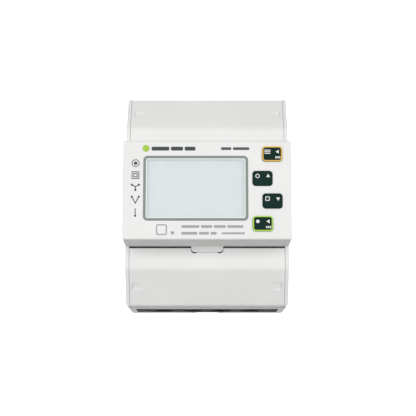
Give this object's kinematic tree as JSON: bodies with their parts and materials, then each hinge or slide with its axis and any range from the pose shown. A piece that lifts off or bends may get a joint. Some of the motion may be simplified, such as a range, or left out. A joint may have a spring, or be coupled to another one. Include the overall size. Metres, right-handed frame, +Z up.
{
  "type": "smart electricity meter",
  "caption": "Rail-mounted electricity meter with display, keys, hinged terminal covers and rising-cage screw terminals.",
  "frame": {"origin": "centre of the seat on the mounting rail: the plane of the rail's front face, on the rail's centre line, midway across the case", "axes": "+X to the right seen from the front, +Z up, the front panel faces -Y and +Y points into the rail"},
  "size_m": [0.072, 0.0658, 0.095],
  "materials": {
    "housing_plastic": "fine textured light grey moulded polycarbonate",
    "cover_plastic": "fine textured light grey moulded polycarbonate",
    "terminal_block": "dark grey flame-retardant moulding",
    "screw_steel": "zinc plated steel",
    "cage_steel": "nickel plated folded steel",
    "copper": "bare rolled copper",
    "transformer_shell": "blue moulded core shell",
    "window_clear": "polished clear plate with a printed grey border",
    "lcd_glass": "reflective liquid crystal cell",
    "backlight_white": "white light guide",
    "holder_white": "natural white moulding",
    "key_rubber": "near black moulded cap, printed legends",
    "switch_black": "black moulded switch parts",
    "board_green": "green solder resist on glass fibre laminate",
    "connector_black": "black glass-filled moulding",
    "header_brass": "gold flashed pins in a black strip",
    "transformer_yellow": "taped winding and ferrite core",
    "capacitor_sleeve": "printed shrink sleeve",
    "varistor_blue": "epoxy dipped disc",
    "clip_plastic": "grey acetal moulding",
    "spring_steel": "spring steel wire"
  },
  "bodies": {
    "root": {"rear_housing": "housing_plastic", "front_housing": "housing_plastic", "housing_screws": "screw_steel", "bottom_terminal_block": "terminal_block", "top_terminal_block": "terminal_block", "signal_terminal_block": "terminal_block", "display_window": "window_clear", "lcd_panel": "lcd_glass", "lcd_backlight": "backlight_white", "lcd_holder": "holder_white", "key_switches": "switch_black", "display_board": "board_green", "board_socket": "connector_black", "board_header": "header_brass", "main_board": "board_green", "supply_transformer": "transformer_yellow", "supply_capacitors": "capacitor_sleeve", "surge_varistors": "varistor_blue", "busbar_1": "copper", "busbar_2": "copper", "busbar_3": "copper", "busbar_4": "copper", "current_transformer_1": "transformer_shell", "current_transformer_2": "transformer_shell", "current_transformer_3": "transformer_shell"},
    "key_1": {"key_1": "key_rubber", "key_plunger_1": "switch_black"},
    "key_2": {"key_2": "key_rubber", "key_plunger_2": "switch_black"},
    "key_3": {"key_3": "key_rubber", "key_plunger_3": "switch_black"},
    "key_4": {"key_4": "key_rubber", "key_plunger_4": "switch_black"},
    "bottom_cover": {"bottom_terminal_cover": "cover_plastic"},
    "top_cover": {"top_terminal_cover": "cover_plastic"},
    "rail_clip": {"rail_clip": "clip_plastic", "rail_clip_spring": "spring_steel"},
    "bottom_screw_1": {"bottom_screw_1": "screw_steel"},
    "bottom_cage_1": {"bottom_cage_1": "cage_steel"},
    "bottom_screw_2": {"bottom_screw_2": "screw_steel"},
    "bottom_cage_2": {"bottom_cage_2": "cage_steel"},
    "bottom_screw_3": {"bottom_screw_3": "screw_steel"},
    "bottom_cage_3": {"bottom_cage_3": "cage_steel"},
    "bottom_screw_4": {"bottom_screw_4": "screw_steel"},
    "bottom_cage_4": {"bottom_cage_4": "cage_steel"},
    "top_screw_1": {"top_screw_1": "screw_steel"},
    "top_cage_1": {"top_cage_1": "cage_steel"},
    "top_screw_2": {"top_screw_2": "screw_steel"},
    "top_cage_2": {"top_cage_2": "cage_steel"},
    "top_screw_3": {"top_screw_3": "screw_steel"},
    "top_cage_3": {"top_cage_3": "cage_steel"},
    "top_screw_4": {"top_screw_4": "screw_steel"},
    "top_cage_4": {"top_cage_4": "cage_steel"},
    "signal_screw_1": {"signal_screw_1": "screw_steel"},
    "signal_screw_2": {"signal_screw_2": "screw_steel"},
    "signal_screw_3": {"signal_screw_3": "screw_steel"},
    "signal_screw_4": {"signal_screw_4": "screw_steel"}
  },
  "joints": [
    {"name": "key_1_press", "type": "slide", "parent": "root", "child": "key_1", "axis": [0, 1, 0], "range_m": [0, 0.0006], "stiffness_N_per_m": 2500, "springref_m": -0.0004},
    {"name": "key_2_press", "type": "slide", "parent": "root", "child": "key_2", "axis": [0, 1, 0], "range_m": [0, 0.0006], "stiffness_N_per_m": 2500, "springref_m": -0.0004},
    {"name": "key_3_press", "type": "slide", "parent": "root", "child": "key_3", "axis": [0, 1, 0], "range_m": [0, 0.0006], "stiffness_N_per_m": 2500, "springref_m": -0.0004},
    {"name": "key_4_press", "type": "slide", "parent": "root", "child": "key_4", "axis": [0, 1, 0], "range_m": [0, 0.0006], "stiffness_N_per_m": 2500, "springref_m": -0.0004},
    {"name": "cover_bottom_hinge", "type": "hinge", "parent": "root", "child": "bottom_cover", "pos_m": [0, -0.0272, -0.0453], "axis": [1, 0, 0], "range_deg": [0, 100]},
    {"name": "cover_top_hinge", "type": "hinge", "parent": "root", "child": "top_cover", "pos_m": [0, -0.0272, 0.0453], "axis": [-1, 0, 0], "range_deg": [0, 100]},
    {"name": "clip_slide", "type": "slide", "parent": "root", "child": "rail_clip", "axis": [0, 0, -1], "range_m": [0, 0.003], "stiffness_N_per_m": 1500, "springref_m": -0.002, "deforming": ["rail_clip_spring"]},
    {"name": "terminal_bottom_1_turn", "type": "hinge", "parent": "root", "child": "bottom_screw_1", "pos_m": [-0.0198, -0.0268, -0.038], "axis": [0, 1, 0], "range_deg": [0, 3600]},
    {"name": "terminal_bottom_1_clamp", "type": "slide", "parent": "root", "child": "bottom_cage_1", "axis": [0, -1, 0], "range_m": [0, 0.008]},
    {"name": "terminal_bottom_2_turn", "type": "hinge", "parent": "root", "child": "bottom_screw_2", "pos_m": [-0.0066, -0.0268, -0.038], "axis": [0, 1, 0], "range_deg": [0, 3600]},
    {"name": "terminal_bottom_2_clamp", "type": "slide", "parent": "root", "child": "bottom_cage_2", "axis": [0, -1, 0], "range_m": [0, 0.008]},
    {"name": "terminal_bottom_3_turn", "type": "hinge", "parent": "root", "child": "bottom_screw_3", "pos_m": [0.0066, -0.0268, -0.038], "axis": [0, 1, 0], "range_deg": [0, 3600]},
    {"name": "terminal_bottom_3_clamp", "type": "slide", "parent": "root", "child": "bottom_cage_3", "axis": [0, -1, 0], "range_m": [0, 0.008]},
    {"name": "terminal_bottom_4_turn", "type": "hinge", "parent": "root", "child": "bottom_screw_4", "pos_m": [0.0198, -0.0268, -0.038], "axis": [0, 1, 0], "range_deg": [0, 3600]},
    {"name": "terminal_bottom_4_clamp", "type": "slide", "parent": "root", "child": "bottom_cage_4", "axis": [0, -1, 0], "range_m": [0, 0.008]},
    {"name": "terminal_top_1_turn", "type": "hinge", "parent": "root", "child": "top_screw_1", "pos_m": [-0.0198, -0.0268, 0.038], "axis": [0, 1, 0], "range_deg": [0, 3600]},
    {"name": "terminal_top_1_clamp", "type": "slide", "parent": "root", "child": "top_cage_1", "axis": [0, -1, 0], "range_m": [0, 0.008]},
    {"name": "terminal_top_2_turn", "type": "hinge", "parent": "root", "child": "top_screw_2", "pos_m": [-0.0066, -0.0268, 0.038], "axis": [0, 1, 0], "range_deg": [0, 3600]},
    {"name": "terminal_top_2_clamp", "type": "slide", "parent": "root", "child": "top_cage_2", "axis": [0, -1, 0], "range_m": [0, 0.008]},
    {"name": "terminal_top_3_turn", "type": "hinge", "parent": "root", "child": "top_screw_3", "pos_m": [0.0066, -0.0268, 0.038], "axis": [0, 1, 0], "range_deg": [0, 3600]},
    {"name": "terminal_top_3_clamp", "type": "slide", "parent": "root", "child": "top_cage_3", "axis": [0, -1, 0], "range_m": [0, 0.008]},
    {"name": "terminal_top_4_turn", "type": "hinge", "parent": "root", "child": "top_screw_4", "pos_m": [0.0198, -0.0268, 0.038], "axis": [0, 1, 0], "range_deg": [0, 3600]},
    {"name": "terminal_top_4_clamp", "type": "slide", "parent": "root", "child": "top_cage_4", "axis": [0, -1, 0], "range_m": [0, 0.008]},
    {"name": "signal_1_turn", "type": "hinge", "parent": "root", "child": "signal_screw_1", "pos_m": [-0.00762, -0.0344, 0.0266], "axis": [0, 1, 0], "range_deg": [0, 1440]},
    {"name": "signal_2_turn", "type": "hinge", "parent": "root", "child": "signal_screw_2", "pos_m": [-0.00254, -0.0344, 0.0266], "axis": [0, 1, 0], "range_deg": [0, 1440]},
    {"name": "signal_3_turn", "type": "hinge", "parent": "root", "child": "signal_screw_3", "pos_m": [0.00254, -0.0344, 0.0266], "axis": [0, 1, 0], "range_deg": [0, 1440]},
    {"name": "signal_4_turn", "type": "hinge", "parent": "root", "child": "signal_screw_4", "pos_m": [0.00762, -0.0344, 0.0266], "axis": [0, 1, 0], "range_deg": [0, 1440]}
  ],
  "couplings": [
    {"joint": "terminal_bottom_1_turn", "follows": "terminal_bottom_1_clamp", "rad_per_m": 7854},
    {"joint": "terminal_bottom_2_turn", "follows": "terminal_bottom_2_clamp", "rad_per_m": 7854},
    {"joint": "terminal_bottom_3_turn", "follows": "terminal_bottom_3_clamp", "rad_per_m": 7854},
    {"joint": "terminal_bottom_4_turn", "follows": "terminal_bottom_4_clamp", "rad_per_m": 7854},
    {"joint": "terminal_top_1_turn", "follows": "terminal_top_1_clamp", "rad_per_m": 7854},
    {"joint": "terminal_top_2_turn", "follows": "terminal_top_2_clamp", "rad_per_m": 7854},
    {"joint": "terminal_top_3_turn", "follows": "terminal_top_3_clamp", "rad_per_m": 7854},
    {"joint": "terminal_top_4_turn", "follows": "terminal_top_4_clamp", "rad_per_m": 7854}
  ]
}
